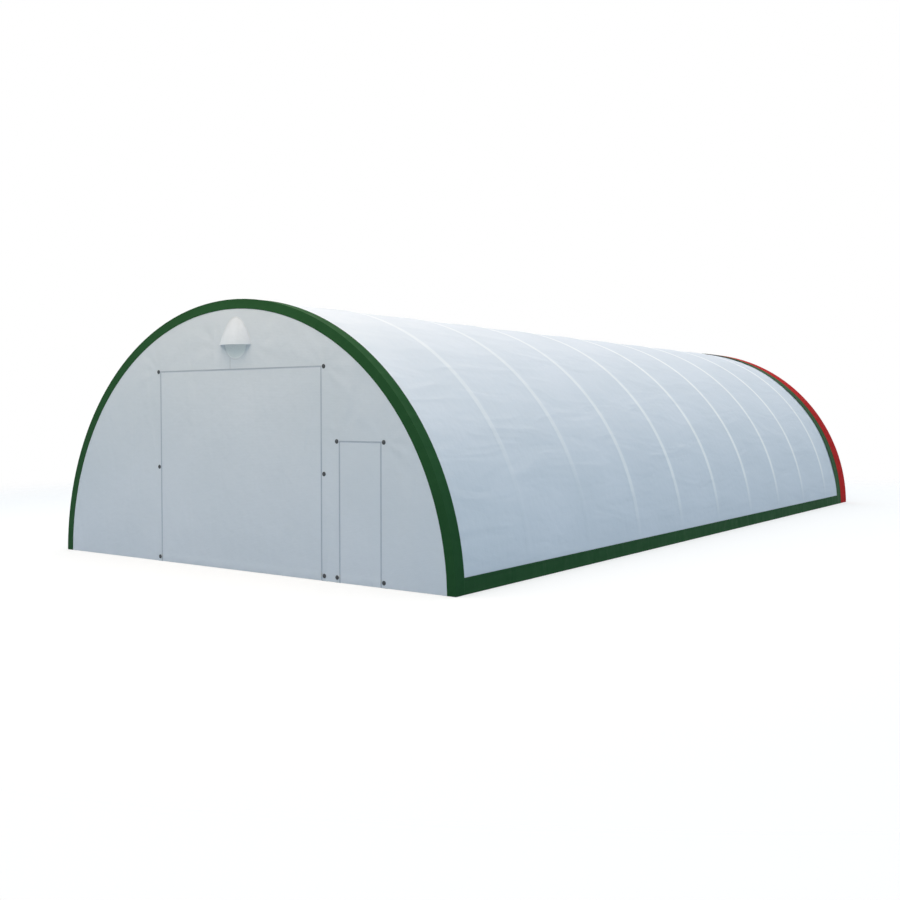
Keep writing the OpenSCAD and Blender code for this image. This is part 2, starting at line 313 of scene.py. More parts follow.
def coated_tarpaulin(name, colour, shade, roughness, specular, rib_highlight_colour=None, translucent=0.0):
    """Woven polyester coated on both sides and welded in panels: an even colour with a soft satin
    sheen, a trace of the weave under the coating, faint pulls and creases, and slow changes of
    tone. A rib highlight colour paints a highlight along the welded strips over the arches."""
    material, tree = new_material(name)
    cloth = add_node(tree, "ShaderNodeUVMap", uv_map="UVMap")
    # Real threads are about 1.5 mm apart; they are drawn 24 mm apart so that they can show.
    threads = [add_node(tree, "ShaderNodeTexWave", {
        "Vector": cloth, "Scale": WAVE_SCALE / 0.024, "Distortion": 0.6, "Detail": 1.0,
        "Detail Scale": 2.0}, bands_direction=way).outputs["Fac"] for way in ("X", "Y")]
    weave = add_node(tree, "ShaderNodeMath", {0: threads[0], 1: threads[1]}, operation="MULTIPLY")
    slow = add_node(tree, "ShaderNodeTexNoise", {"Vector": cloth, "Scale": 0.55, "Detail": 3.0,
                                                 "Roughness": 0.5})
    # Pulls in the stretched cloth run across the arches, about four times as long as wide.
    pulled = add_node(tree, "ShaderNodeMapping", {"Vector": cloth, "Scale": (1.0, 0.25, 1.0)})
    pulls = add_node(tree, "ShaderNodeTexNoise", {"Vector": pulled, "Scale": 2.2, "Detail": 2.0,
                                                  "Distortion": 0.6})
    creases = add_node(tree, "ShaderNodeTexNoise", {"Vector": cloth, "Scale": 7.0, "Detail": 4.0,
                                                    "Roughness": 0.5})
    tone = add_node(tree, "ShaderNodeMapRange", {"Value": slow, "From Min": 0.3, "From Max": 0.7})
    mixed = add_node(tree, "ShaderNodeMix", {
        "Factor": tone, COLOUR_A: linear(shade), COLOUR_B: linear(colour)},
        data_type="RGBA").outputs[MIXED]
    # Painted highlight: the paler colour is mixed in where the "rib" attribute marks a strip.
    if rib_highlight_colour:
        rib = add_node(tree, "ShaderNodeAttribute", attribute_name="rib").outputs["Fac"]
        mixed = add_node(tree, "ShaderNodeMix", {
            "Factor": rib, COLOUR_A: mixed, COLOUR_B: linear(rib_highlight_colour)},
            data_type="RGBA").outputs[MIXED]
    rough = add_node(tree, "ShaderNodeMapRange", {
        "Value": creases, "From Min": 0.3, "From Max": 0.7, "To Min": roughness - 0.05,
        "To Max": roughness + 0.06})
    normal = {}
    for height, strength, depth in ((pulls, 1.0, 0.034), (creases, 0.8, 0.008), (weave, 0.6, 0.0008)):
        normal = {"Normal": add_node(tree, "ShaderNodeBump", normal | {
            "Height": height, "Strength": strength, "Distance": depth})}
    surface = add_node(tree, "ShaderNodeBsdfPrincipled", normal | {
        "Base Color": mixed, "Roughness": rough, "Specular IOR Level": specular})
    if translucent:
        through = add_node(tree, "ShaderNodeBsdfTranslucent", normal | {"Color": mixed})
        surface = add_node(tree, "ShaderNodeMixShader", {0: translucent, 1: surface, 2: through})
    add_node(tree, "ShaderNodeOutputMaterial", {"Surface": surface})
    return material


def hot_dip_galvanised():
    """Mild steel tube dipped in zinc: a grey metal with crystals about 12 mm across, each with
    its own dullness, under slow paler and darker patches."""
    material, tree = new_material("hot_dip_galvanised_steel")
    place = add_node(tree, "ShaderNodeTexCoord").outputs["Object"]
    crystals = add_node(tree, "ShaderNodeTexVoronoi", {"Vector": place, "Scale": 1 / 0.012,
                                                       "Randomness": 1.0}).outputs["Color"]
    grain = add_node(tree, "ShaderNodeSeparateColor", {"Color": crystals})
    patches = add_node(tree, "ShaderNodeTexNoise", {"Vector": place, "Scale": 3.0, "Detail": 5.0})
    tone = add_node(tree, "ShaderNodeMath", {0: grain, 1: 0.35, 2: patches},
                    operation="MULTIPLY_ADD", use_clamp=True)
    rough = add_node(tree, "ShaderNodeMapRange", {"Value": grain, "To Min": 0.34, "To Max": 0.56})
    end_material(tree, tone, ("#8b9094", "#c3c7ca"), {"Metallic": 0.85, "Roughness": rough},
                 (tone, 0.2, 0.0005))
    return material


def zinc_plated():
    """Bolts, nuts and washers with a thin bright zinc coat, which dulls in patches outdoors."""
    material, tree = new_material("zinc_plated_steel")
    place = add_node(tree, "ShaderNodeTexCoord").outputs["Object"]
    dulling = add_node(tree, "ShaderNodeTexNoise", {"Vector": place, "Scale": 60.0, "Detail": 4.0})
    rough = add_node(tree, "ShaderNodeMapRange", {"Value": dulling, "To Min": 0.25, "To Max": 0.5})
    end_material(tree, dulling, ("#9da3a6", "#cfd2d0"), {"Metallic": 1.0, "Roughness": rough})
    return material


def woven_tape(name, colour, edge):
    """Woven polyester tape, or sewing thread: matt, with fine ribs about 1 mm apart, which are
    drawn 3 mm apart so that they can show."""
    material, tree = new_material(name)
    place = add_node(tree, "ShaderNodeTexCoord").outputs["Object"]
    ribs = add_node(tree, "ShaderNodeTexWave", {
        "Vector": place, "Scale": WAVE_SCALE / 0.003, "Distortion": 0.8}, bands_direction="Z")
    wear = add_node(tree, "ShaderNodeTexNoise", {"Vector": place, "Scale": 5.0, "Detail": 4.0})
    end_material(tree, wear, (edge, colour), {"Roughness": 0.85, "Specular IOR Level": 0.3},
                 (ribs.outputs["Fac"], 0.4, 0.0005))
    return material


def moulded_nylon(name, colour, scuffed, roughness):
    """Injection-moulded nylon: a fine spark-eroded texture with paler scuffs, satin to matt."""
    material, tree = new_material(name)
    place = add_node(tree, "ShaderNodeTexCoord").outputs["Object"]
    grain = add_node(tree, "ShaderNodeTexNoise", {"Vector": place, "Scale": 700.0, "Detail": 2.0})
    scuffs = add_node(tree, "ShaderNodeTexNoise", {"Vector": place, "Scale": 35.0, "Detail": 6.0,
                                                   "Roughness": 0.7})
    worn = add_node(tree, "ShaderNodeMapRange", {"Value": scuffs, "From Min": 0.45, "From Max": 0.75})
    end_material(tree, worn, (colour, scuffed), {"Roughness": roughness}, (grain, 0.3, 0.0002))
    return material


# The white tarpaulin's last colour paints a highlight along the strips over the arches.
WHITE = coated_tarpaulin("white_coated_tarpaulin", "#e0e6ee", "#dbe2ea", 0.50, 0.35, "#fafcfd", 0.22)
HOOD_WHITE = coated_tarpaulin("white_vent_tarpaulin", "#ebeff4", "#e6ebf0", 0.45, 0.3, translucent=0.50)
# The lap is a little darker than the wall: painted shade along the edge of the lap.
LAP_PAINTED_SHADE_WHITE = coated_tarpaulin("white_welded_lap", "#d6dce3", "#d2d8df", 0.45, 0.3, translucent=0.22)
GREEN = coated_tarpaulin("green_coated_tarpaulin", "#244d2c", "#204728", 0.70, 0.06)
RED = coated_tarpaulin("red_coated_tarpaulin", "#b81d1d", "#a81c1b", 0.72, 0.03)
STEEL = hot_dip_galvanised()
ZINC = zinc_plated()
ZIP_TAPE = woven_tape("woven_zip_tape", "#c1c9d4", "#b6becb")
GREEN_THREAD = woven_tape("green_sewing_thread", "#35653f", "#2f5a38")
WHITE_THREAD = woven_tape("white_sewing_thread", "#e6e8ea", "#dadde0")
RED_THREAD = woven_tape("red_sewing_thread", "#c44840", "#b73f38")
SCREEN_YARN = woven_tape("vent_screen_yarn", "#eef2f5", "#e6ebee")
SCREEN_BINDING = woven_tape("screen_binding_tape", "#dadee6", "#d3d8e0")
ZIP_NYLON = moulded_nylon("zip_tooth_nylon", "#a3abb8", "#b0b8c5", 0.4)
PAD_NYLON = moulded_nylon("fastener_nylon", "#33373d", "#4a4f56", 0.55)


# ---------------------------------------------------------------- geometry node trees

def start_tree(name, sizes, shapes=()):
    """A Geometry Nodes tree with named inputs for its sizes, its shapes and its material."""
    tree = bpy.data.node_groups.new(name, "GeometryNodeTree")
    tree.interface.new_socket("Geometry", in_out="OUTPUT", socket_type="NodeSocketGeometry")
    inputs = [("Geometry", "Geometry"), *((size, "Float") for size in sizes),
              *((shape, "Object") for shape in shapes), ("Material", "Material")]
    for title, kind in inputs:
        tree.interface.new_socket(title, in_out="INPUT", socket_type="NodeSocket" + kind)
    return tree, add_node(tree, "NodeGroupInput").outputs


def end_tree(tree, given, geometry):
    """Realizes the instances, sets the material and ends the tree."""
    real = add_node(tree, "GeometryNodeRealizeInstances", {"Geometry": geometry})
    done = add_node(tree, "GeometryNodeSetMaterial", {"Geometry": real, "Material": given["Material"]})
    add_node(tree, "NodeGroupOutput", {"Geometry": done})
    return tree


def repeat_tree(on_paths):
    """Repeats the shape at an even pitch along each path, or puts it on each point. Its Z lies
    along "up", and its X along the path or along "along"."""
    if on_paths:
        tree, given = start_tree("repeat_along_path", ["Pitch"], ["Shape"])
        curve = add_node(tree, "GeometryNodeMeshToCurve", {"Mesh": given["Geometry"]})
        spots = add_node(tree, "GeometryNodeResampleCurve", {"Curve": curve, "Length": given["Pitch"]},
                         mode="LENGTH")
        along = add_node(tree, "GeometryNodeInputTangent")
    else:
        tree, given = start_tree("repeat_on_points", [], ["Shape"])
        spots = add_node(tree, "GeometryNodeMeshToPoints", {"Mesh": given["Geometry"]})
        along = add_node(tree, "GeometryNodeInputNamedAttribute", {"Name": "along"},
                         data_type="FLOAT_VECTOR")
    up = add_node(tree, "GeometryNodeInputNamedAttribute", {"Name": "up"}, data_type="FLOAT_VECTOR")
    turn = add_node(tree, "FunctionNodeAxesToRotation", {0: up, 1: along},
                    primary_axis="Z", secondary_axis="X")
    shape = add_node(tree, "GeometryNodeObjectInfo", {"Object": given["Shape"], "As Instance": True})
    copies = add_node(tree, "GeometryNodeInstanceOnPoints", {
        "Points": spots, "Rotation": turn, "Instance": shape.outputs["Geometry"]})
    return end_tree(tree, given, copies)


def cover_tree():
    """Stretches a flat closed sheet over the arches. Its X is the length round the arc, its Y the
    place along the shelter and its Z the depth in the cloth. Between the arches and purlins that
    hold it out the cloth draws inwards, and a welded strip stands proud over each arch."""
    tree, given = start_tree("stretch_cover_over_arches", [
        "Flat Width", "Radius", "Axis Height", "Hem Height", "Bay", "First Arch", "Purlin Step",
        "Foot Angle", "Hollow At Purlins", "Hollow Between", "Strip Width", "Strip Height"])

    def maths(operation, *values):
        return add_node(tree, "ShaderNodeMath", dict(enumerate(values)), operation=operation)

    def ramp(value, low, high):
        return add_node(tree, "ShaderNodeMapRange", {"Value": value, "From Min": low, "From Max": high},
                        interpolation_type="SMOOTHSTEP")

    place = add_node(tree, "GeometryNodeInputPosition")
    flat = add_node(tree, "ShaderNodeSeparateXYZ", {0: place}).outputs
    axis = given["Axis Height"]
    radius = maths("ADD", given["Radius"], flat["Z"])
    start = maths("ARCSINE", maths("DIVIDE", maths("SUBTRACT", given["Hem Height"], axis), radius))
    span = maths("MULTIPLY_ADD", start, -2.0, math.pi)
    angle = maths("MULTIPLY_ADD", maths("DIVIDE", flat["X"], given["Flat Width"]), span, start)
    height = maths("MULTIPLY_ADD", radius, maths("SINE", angle), axis)

    # The hollow is a bow in each bay, deeper between purlins, and fades out towards the ground.
    from_first = maths("SUBTRACT", flat["Y"], given["First Arch"])
    bay_part = maths("FRACT", maths("DIVIDE", from_first, given["Bay"]))
    other_part = maths("SUBTRACT", 1.0, bay_part)
    bow = maths("MULTIPLY", maths("MULTIPLY", bay_part, other_part), 4.0)
    from_foot = maths("SUBTRACT", angle, given["Foot Angle"])
    purlin_part = maths("DIVIDE", from_foot, given["Purlin Step"])
    between = maths("POWER", maths("SINE", maths("MULTIPLY", purlin_part, math.pi)), 2.0)
    depth = maths("MULTIPLY_ADD", between, given["Hollow Between"], given["Hollow At Purlins"])
    hollow = maths("MULTIPLY", maths("MULTIPLY", bow, depth), ramp(height, 0.26, 1.3))

    # The strips lie over the inner arches only, and their edges are soft.
    off_arch = maths("MULTIPLY", maths("MINIMUM", bay_part, other_part), given["Bay"])
    half_strip = maths("MULTIPLY", given["Strip Width"], 0.5)
    past_edge = ramp(off_arch, maths("SUBTRACT", half_strip, STRIP_EDGE_IN),
                     maths("ADD", half_strip, STRIP_EDGE_OUT))
    inner = maths("LESS_THAN", maths("ABSOLUTE", flat["Y"]), maths("MULTIPLY", given["First Arch"], -0.9))
    strip = maths("MULTIPLY", maths("SUBTRACT", 1.0, past_edge), inner)
    relief = maths("MULTIPLY", maths("MULTIPLY", strip, given["Strip Height"]), ramp(height, 0.25, 0.45))

    # The "rib" attribute says how strongly a painted highlight shows along a strip. It is stronger
    # towards the rear, and fades out towards the ground, from higher up near the front.
    highlight_strength = maths("MULTIPLY_ADD", ramp(flat["Y"], -8.5, 3.0), 0.6, 0.4)
    past_front = ramp(flat["Y"], -6.5, -4.2)
    fade = ramp(height, maths("MULTIPLY_ADD", past_front, -0.8, 0.9),
                maths("MULTIPLY_ADD", past_front, -1.3, 2.8))
    marked = add_node(tree, "GeometryNodeStoreNamedAttribute", {
        "Geometry": given["Geometry"], "Name": "rib",
        "Value": maths("MULTIPLY", strip, maths("MULTIPLY", fade, highlight_strength))}, data_type="FLOAT")

    final = maths("ADD", maths("SUBTRACT", radius, hollow), relief)
    bent = add_node(tree, "ShaderNodeCombineXYZ", {
        "X": maths("MULTIPLY", final, maths("COSINE", angle)), "Y": flat["Y"],
        "Z": maths("MULTIPLY_ADD", final, maths("SINE", angle), axis)})
    stretched = add_node(tree, "GeometryNodeSetPosition", {"Geometry": marked, "Position": bent})
    return end_tree(tree, given, stretched)


PATH_REPEAT, POINT_REPEAT, COVER = repeat_tree(True), repeat_tree(False), cover_tree()


def run_tree(name, tree, base, **values):
    """Runs a tree on a base object and keeps the result as a plain mesh in a new object."""
    modifier = base.modifiers.new("tree", "NODES")
    modifier.node_group = tree
    for item in tree.interface.items_tree:
        wanted = item.name.replace(" ", "_")
        if item.in_out == "INPUT" and wanted in values:
            modifier[item.identifier] = values[wanted]
    bpy.context.view_layer.update()
    evaluated = base.evaluated_get(bpy.context.evaluated_depsgraph_get())
    mesh = bpy.data.meshes.new_from_object(evaluated)
    base.modifiers.remove(modifier)
    bpy.data.objects.remove(base)
    return add_object(name, mesh)


def give_vectors(piece, name, vectors):
    """Stores a vector on each vertex."""
    attribute = piece.data.attributes.new(name, "FLOAT_VECTOR", "POINT")
    attribute.data.foreach_set("vector", np.asarray(vectors, np.float32).ravel())


def repeat_on_paths(name, shape, paths, pitch, material, crease=35):
    """A piece that repeats a shape along paths, each a list of points and the direction that is
    up at all of them, or a list of such directions."""
    starts = np.cumsum([0] + [len(points) for points, up in paths])
    edges = [(i, i + 1) for a, b in zip(starts, starts[1:]) for i in range(a, b - 1)]
    base = make_object(name + "_path", np.vstack([points for points, up in paths]), [], edges)
    give_vectors(base, "up", np.vstack([np.broadcast_to(up, (len(points), 3))
                                        for points, up in paths]))
    finish_piece(run_tree(name, PATH_REPEAT, base, Pitch=pitch, Shape=shape, Material=material),
                 crease=crease)


def repeat_on_points(name, shape, places, material, nodes=(), crease=35):
    """A piece with a shape on each of its places, given as a point, and the directions of the
    shape's X and Z there."""
    points, alongs, ups = zip(*places)
    base = make_object(name + "_points", points, [])
    give_vectors(base, "along", alongs)
    give_vectors(base, "up", ups)
    finish_piece(run_tree(name, POINT_REPEAT, base, Shape=shape, Material=material),
                 nodes, crease=crease)


# ---------------------------------------------------------------- shapes that repeat

def lathe(name, profile, sides):
    """A solid of revolution about Z from (radius, z) points, with its poles closed."""
    return sweep(name, [[(x, y, z) for x, y in circle_loop(0, 0, r, sides)] for r, z in profile])


def rounded_bar(name, length, width, height, chamfer):
    """A short bar along X with its upper edges and ends chamfered, standing on Z = 0."""
    x, y = length / 2, width / 2
    low = [(-x, -y, 0), (x, -y, 0), (x, y, 0), (-x, y, 0)]
    mid = [(a, b, height - chamfer) for a, b, c in low]
    top = [(a * (1 - chamfer / x), b * (1 - chamfer / y), height) for a, b, c in low]
    return sweep(name, [low, mid, top])


# Stitches are drawn about three times and zip teeth about twice as coarse as real ones, so that
# they can show.
STITCH = rounded_bar("stitch_shape", 0.017, 0.0028, 0.0014, 0.0007)
TOOTH_PAIR = join("tooth_pair_shape", [
    moved(rounded_bar("tooth_shape", 0.0034, 0.0062, 0.0020, 0.0006), 0.002 * side, -0.0022 * side, 0)
    for side in (-1, 1)])
PAD = lathe("pad_shape", [
    (0.035, 0), (0.035, 0.0035), (0.0335, 0.0050), (0.029, 0.0058), (0.0275, 0.0050),
    (0.0150, 0.0050), (0.0135, 0.0060), (0.0130, 0.0078), (0.0115, 0.0088), (0.0060, 0.0092),
    (0.0, 0.0092)], 32)
ANCHOR = join("anchor_shape", [
    lathe("anchor_washer", [(0.0, 0.0), (0.0118, 0.0), (0.0120, 0.0004), (0.0120, 0.0021),
                            (0.0116, 0.0025), (0.0, 0.0025)], 20),
    lathe("anchor_nut", [(0.0, 0.0025), (0.0102, 0.0025), (0.0109, 0.0034), (0.0109, 0.0114),
                         (0.0100, 0.0123), (0.0, 0.0123)], 6),
    lathe("anchor_stud", [(0.0, 0.0100), (0.0060, 0.0100), (0.0060, 0.0215), (0.0050, 0.0227),
                          (0.0, 0.0227)], 14)])
WELD_RIPPLE = lathe("weld_ripple_shape", [(0.0042, 0.0), (0.0039, 0.0014), (0.0027, 0.0028),
                                          (0.0, 0.0034)], 8)


# ---------------------------------------------------------------- roof cover

def roof_cover():
    """The cover as one sheet, cut flat and then stretched over the arches."""
    flat_width = COVER_R * (math.pi - 2 * hem_angle(COVER_R))
    rows = {-WALL_Y + FABRIC, WALL_Y - FABRIC, *ARCH_YS}
    rows |= {arch + side * (STRIP_W / 2 + d) for arch in ARCH_YS[1:-1] for side in (-1, 1)
             for d in (-STRIP_EDGE_IN, -0.010, STRIP_EDGE_OUT)}
    rows |= {arch + BAY * k / 14 for arch in ARCH_YS[:-1] for k in range(1, 14)}
    columns = np.linspace(0, flat_width, 169)
    y, x = np.meshgrid(sorted(rows), columns, indexing="ij")
    front = np.stack([x.ravel(), y.ravel(), np.zeros(x.size)], 1)
    vertices, faces = closed_sheet(front, front - (0, 0, FABRIC),
                                   grid_faces(len(rows), len(columns)))
    cloth = make_object("roof_cover_cloth", vertices, faces)
    give_uv(cloth.data, vertices[:, 0], vertices[:, 1])
    cover = run_tree("roof_membrane", COVER, cloth, Flat_Width=flat_width, Radius=COVER_R,
                     Axis_Height=AXIS_Z, Hem_Height=HEM_Z, Bay=BAY, First_Arch=-END_ARCH_Y,
                     Purlin_Step=PURLIN_STEP, Foot_Angle=FOOT_ANGLE,
                     Hollow_At_Purlins=HOLLOW_AT_PURLINS, Hollow_Between=HOLLOW_BETWEEN,
                     Strip_Width=STRIP_W, Strip_Height=STRIP_T, Material=WHITE)
    finish_piece(cover, ["roof_cover"])


roof_cover()


# ---------------------------------------------------------------- end walls and doors

def inside(points, loop):
    """Which 2D points lie inside a closed loop."""
    x, z = points[:, 0][:, None], points[:, 1][:, None]
    a, b = np.asarray(loop), np.roll(np.asarray(loop), -1, 0)
    crosses = (a[:, 1] > z) != (b[:, 1] > z)
    with np.errstate(divide="ignore", invalid="ignore"):
        at = (b[:, 0] - a[:, 0]) * (z - a[:, 1]) / (b[:, 1] - a[:, 1]) + a[:, 0]
    return (crosses & (x < at)).sum(1) % 2 == 1


def filled_region(outline, holes, spacing):
    """Points and faces that fill a flat outline with holes, on an even grid. Grid points very
    near an edge are left out, so that no face is a sliver."""
    loops = [divided([*loop, loop[0]], spacing)[:-1] for loop in (outline, *holes)]
    points, edges = [], []
    for loop in loops:
        start = len(points)
        points += loop
        edges += [(start + i, start + (i + 1) % len(loop)) for i in range(len(loop))]

    def in_region(places):
        keep = inside(places, loops[0])
        for hole in loops[1:]:
            keep &= ~inside(places, hole)
        return keep

    rim = np.array(points)
    low, high = rim.min(0), rim.max(0)
    counts = [max(2, round((high[k] - low[k]) / spacing)) + 1 for k in (0, 1)]
    xs, zs = (np.linspace(low[k], high[k], counts[k])[1:-1] for k in (0, 1))
    grid = np.array([(x, z) for z in zs for x in xs])
    grid = grid[in_region(grid)]
    away = np.min(np.linalg.norm(grid[:, None] - rim[None], axis=2), axis=1)
    points += [tuple(p) for p in grid[away > 0.45 * spacing]]
    found, _, faces, *_ = delaunay_2d_cdt([Vector(p) for p in points], edges, [], 0, 1e-5)
    found = np.array([tuple(v) for v in found])
    wanted = in_region(np.array([found[list(f)].mean(0) for f in faces]))
    return found, [list(f) for f, w in zip(faces, wanted) if w]


def rectangle(x, width, low, high):
    """A closed loop of 2D points round a rectangle with its middle at x."""
    return [(x - width / 2, low), (x + width / 2, low), (x + width / 2, high), (x - width / 2, high)]


def end_outline():
    """A closed loop round the cloth of an end wall."""
    start = hem_angle(COVER_R)
    points = [arc_point(COVER_R, a, 0) for a in np.linspace(start, math.pi - start, 181)]
    return [(x, z) for x, y, z in points]


def off_doorway(points, door, margin=0.0, above=0.0):
    """Distance of 2D points from the edge of a doorway, inside or outside it, with the edge
    taken margin wider and above higher. It runs on below the ground, so that the foot of the
    doorway counts for nothing."""
    x, width, head = door
    low, high = -1.0, head + above
    d = np.abs(points - (x, (low + high) / 2)) - ((width + margin) / 2, (high - low) / 2)
    return np.abs(np.linalg.norm(np.maximum(d, 0), axis=1) + np.minimum(d.max(1), 0))


def wall_bulge(points, end):
    """How far an end wall bellies outwards between what holds it flat: its edges, the vent, the
    doorways and their posts. Slack folds cross it, and pulls fan out from the corners of the
    hood and the doors."""
    from_axis = np.linalg.norm(points - (0, AXIS_Z), axis=1)
    # The cloth lies flat within vent_reach of a point vent_up above the vent, by the doorways and
    # as far as the outer edges of their posts and headers.
    vent_up, vent_reach, by_doorway = 0.1, 0.52, 0.10
    posts_wider, header_above = 2 * JAMB_OUT + 0.08, 0.045
    pull_reach, pull_folds = 0.45, 9
    from_vent = np.linalg.norm(points - (VENT_X, VENT_Z + vent_up), axis=1)
    free = np.minimum(BAND_R - FACE_BAND - from_axis, points[:, 1] - HEM_Z)
    free = np.minimum(free, np.maximum(0, from_vent - vent_reach))
    corners = [(VENT_X + side * HOOD_W / 2, HOOD_Z) for side in (-1, 1)]
    for door in DOORS if end < 0 else ():
        around = off_doorway(points, door, posts_wider, header_above)
        free = np.where(off_doorway(points, door) < by_doorway, 0, np.minimum(free, around))
        corners += [(door[0] + side * (door[1] / 2 + JAMB_OUT), door[2]) for side in (-1, 1)]
    x, z = points.T
    folds = 0.6 + 0.22 * np.sin(5.1 * x + 0.8 * z + 0.6) + 0.18 * np.sin(2.3 * x - 1.7 * z + 2.0)
    pulls = sum(np.exp(-np.hypot(x - cx, z - cz) / pull_reach) *
                np.cos(pull_folds * np.arctan2(z - cz, x - cx) + 3 * cx) for cx, cz in corners)
    return (WALL_BELLY * smoothstep(0, 0.75, free) * folds +
            WALL_PULL * smoothstep(0.02, 0.15, free) * pulls)


def door_bulge(points, door):
    """How far a door bellies outwards, with the bar in its bottom pocket and slack folds above."""
    free = off_doorway(points, door)
    u, z = points[:, 0] - door[0], points[:, 1]
    belly = 0.6 + 0.25 * np.sin(4.0 * u + 0.5) + 0.15 * np.sin(3.3 * z + 1.1 * u)
    bar_z, bar_half = 0.060, 0.045
    bar = np.sqrt(np.clip(1 - ((z - bar_z) / bar_half) ** 2, 0, 1))
    return (DOOR_BELLY * smoothstep(0.02, 0.8, free) * smoothstep(0.10, 0.7, z) * belly +
            POCKET_OUT * smoothstep(0.02, 0.06, free) * bar)


def wall_sheet(name, points, faces, outer, inner):
    """A closed sheet in an end wall, from its flat points and the y of its two faces."""
    front, back = (np.stack([points[:, 0], y, points[:, 1]], 1) for y in (outer, inner))
    vertices, faces = closed_sheet(front, back, faces)
    sheet = make_object(name, vertices, faces)
    give_uv(sheet.data, vertices[:, 0], vertices[:, 2])
    return sheet


def fabric_panel(name, region, bulge, end, nodes):
    """A sheet of fabric in an end wall. end is -1 for the front and 1 for the rear."""
    points, faces = region
    if end > 0:
        faces = [f[::-1] for f in faces]
    outer = end * (WALL_Y + bulge)
    panel = wall_sheet(name, points, faces, outer, outer - end * FABRIC)
    finish_piece(panel, nodes, WHITE)


def welded_lap(name, low, high):
    """The upright lap where two widths of the front wall are welded together."""
    rows, section = 41, (0.0, LAP_T, LAP_T, LAP_T, 0.0)
    across = LAP_X + LAP_W * np.linspace(-0.5, 0.5, len(section))
    points = np.array([(x, z) for z in np.linspace(low, high, rows) for x in across])
    surface = -WALL_Y - wall_bulge(points, -1)
    lap = wall_sheet(name, points, grid_faces(rows, len(section)),
                     surface - np.tile(section, rows), surface + LAP_SUNK)
    face_outwards(lap)
    # Its darker cloth paints the shade along the edge of the lap.
    finish_piece(lap, material=LAP_PAINTED_SHADE_WHITE)
    return lap


vent_loop = circle_loop(VENT_X, VENT_Z, VENT_R, 64)
doorways = [rectangle(x, width, HEM_Z, head) for x, width, head in DOORS]

front = filled_region(end_outline(), [*doorways, vent_loop], spacing=0.055)
seam = welded_lap("front_wall_seam", MAIN_DOOR[2] + ZIP_W / 2, VENT_Z - VENT_R + 0.025)
fabric_panel("front_end_wall", front, wall_bulge(front[0], -1), -1, ["front_wall"])
rear = filled_region(end_outline(), [vent_loop], spacing=0.075)
fabric_panel("rear_end_wall", rear, wall_bulge(rear[0], 1), 1, ["rear_wall"])
for name, node, door, post in (
        ("main_roll_up_door", "main_door_curtain", MAIN_DOOR, "main_door_header"),
        ("side_zip_door", "side_door_panel", SIDE_DOOR, "side_door_header")):
    x, width, head = door
    region = filled_region(rectangle(x, width - 2 * FIT, HEM_Z, head - FIT), [], spacing=0.06)
    fabric_panel(name, region, door_bulge(region[0], door), -1, [node])


# ---------------------------------------------------------------- edge and base bands

# The section of a sewn hem, as the place in from its edge and the height over the cloth
HEM = ((0.0, 0.0), (0.0, 0.7 * HEM_T), (0.002, HEM_T), (HEM_W - 0.002, HEM_T), (HEM_W, 0.0))

# The section of a base band, as the height and how far the cloth stands out: a rolled hem at the
# foot, plain cloth, and a sewn hem at the top
BASE_SECTION = (
    (HEM_Z, 0.0), (0.008, 0.003), (0.014, 0.005), (0.026, 0.005), (0.034, 0.003), (0.040, 0.0),
    (0.080, 0.0), (0.130, 0.0), (0.180, 0.0), (BASE_BAND - 0.028, 0.0), (BASE_BAND - HEM_W, HEM_T),
    (BASE_BAND - 0.003, HEM_T), (BASE_BAND, HEM_T / 2))


def arc_band(name, outer, inner, material, slot, node):
    """A band bent round the shelter's arc. outer and inner are lines of (radius, y) points along
    its two faces, from the same edge. The outer face puckers a little between the stitches."""
    steps = 360
    rings = []
    for k in range(steps + 1):
        ring = []
        for j, (radius, y) in enumerate([*outer, *inner[::-1]]):
            start = hem_angle(radius)
            angle = start + k / steps * (math.pi - 2 * start)
            pucker = 0.0
            if j < len(outer):
                pucker = ARC_PUCKER * math.sin(angle * radius / 0.034 + 9 * y) * math.sin(angle * 7.3)
            ring.append(arc_point(radius + pucker, angle, y))
        rings.append(ring)
    band = sweep(name, rings)
    x, y, z = vertex_places(band.data)
    give_uv(band.data, np.arctan2(z - AXIS_Z, x) * BAND_R, y + np.hypot(x, z - AXIS_Z))
    finish_piece(band, [node], material)


def corner_lines(roof_w, end):
    """Outer and inner lines of a band that turns from the roof onto the end wall, with a hem
    along both edges."""
    face_r, roof_y, bend_r, bend_y = BAND_R - FACE_BAND, END_Y - roof_w, BAND_R - BEND_R, END_Y - BEND_R
    outer = [(face_r + across, END_Y + up) for across, up in HEM]
    outer += [(bend_r, END_Y)]
    outer += [(bend_r + BEND_R * math.sin(a), bend_y + BEND_R * math.cos(a))
              for a in np.radians((22, 45, 68))]
    outer += [(BAND_R, bend_y)]
    outer += [(BAND_R + up, roof_y + across) for across, up in HEM[::-1]]
    inner = [(face_r, WALL_Y), (BAND_R - FABRIC, WALL_Y), (BAND_R - FABRIC, roof_y)]
    return [[(r, end * y) for r, y in line] for line in (outer, inner)]


def base_band(name, side, node):
    """The band along the foot of one side."""
    outer = [(BAND_R, z, out) for z, out in BASE_SECTION]
    inner = [(BAND_R - FABRIC, z, 0) for z in (BASE_BAND, 0.130, HEM_Z)]
    rings, stations = [], np.linspace(FRONT_BAND - END_Y, REAR_FROM, 240)
    for y in stations:
        ring = []
        for radius, z, out in [*outer, *inner]:
            if radius == BAND_R and 0.05 < z < 0.22:
                out += BASE_RIPPLE * math.sin(y * 9.7 + z * 6) * math.sin(y * 1.9)
            x, y, height = arc_point(radius + out, hem_angle(radius, z), y)
            ring.append((side * x, y, height))
        rings.append(ring)
    band = sweep(name, rings)
    x, y, z = vertex_places(band.data)
    give_uv(band.data, y, z + x)
    finish_piece(band, [node], GREEN)


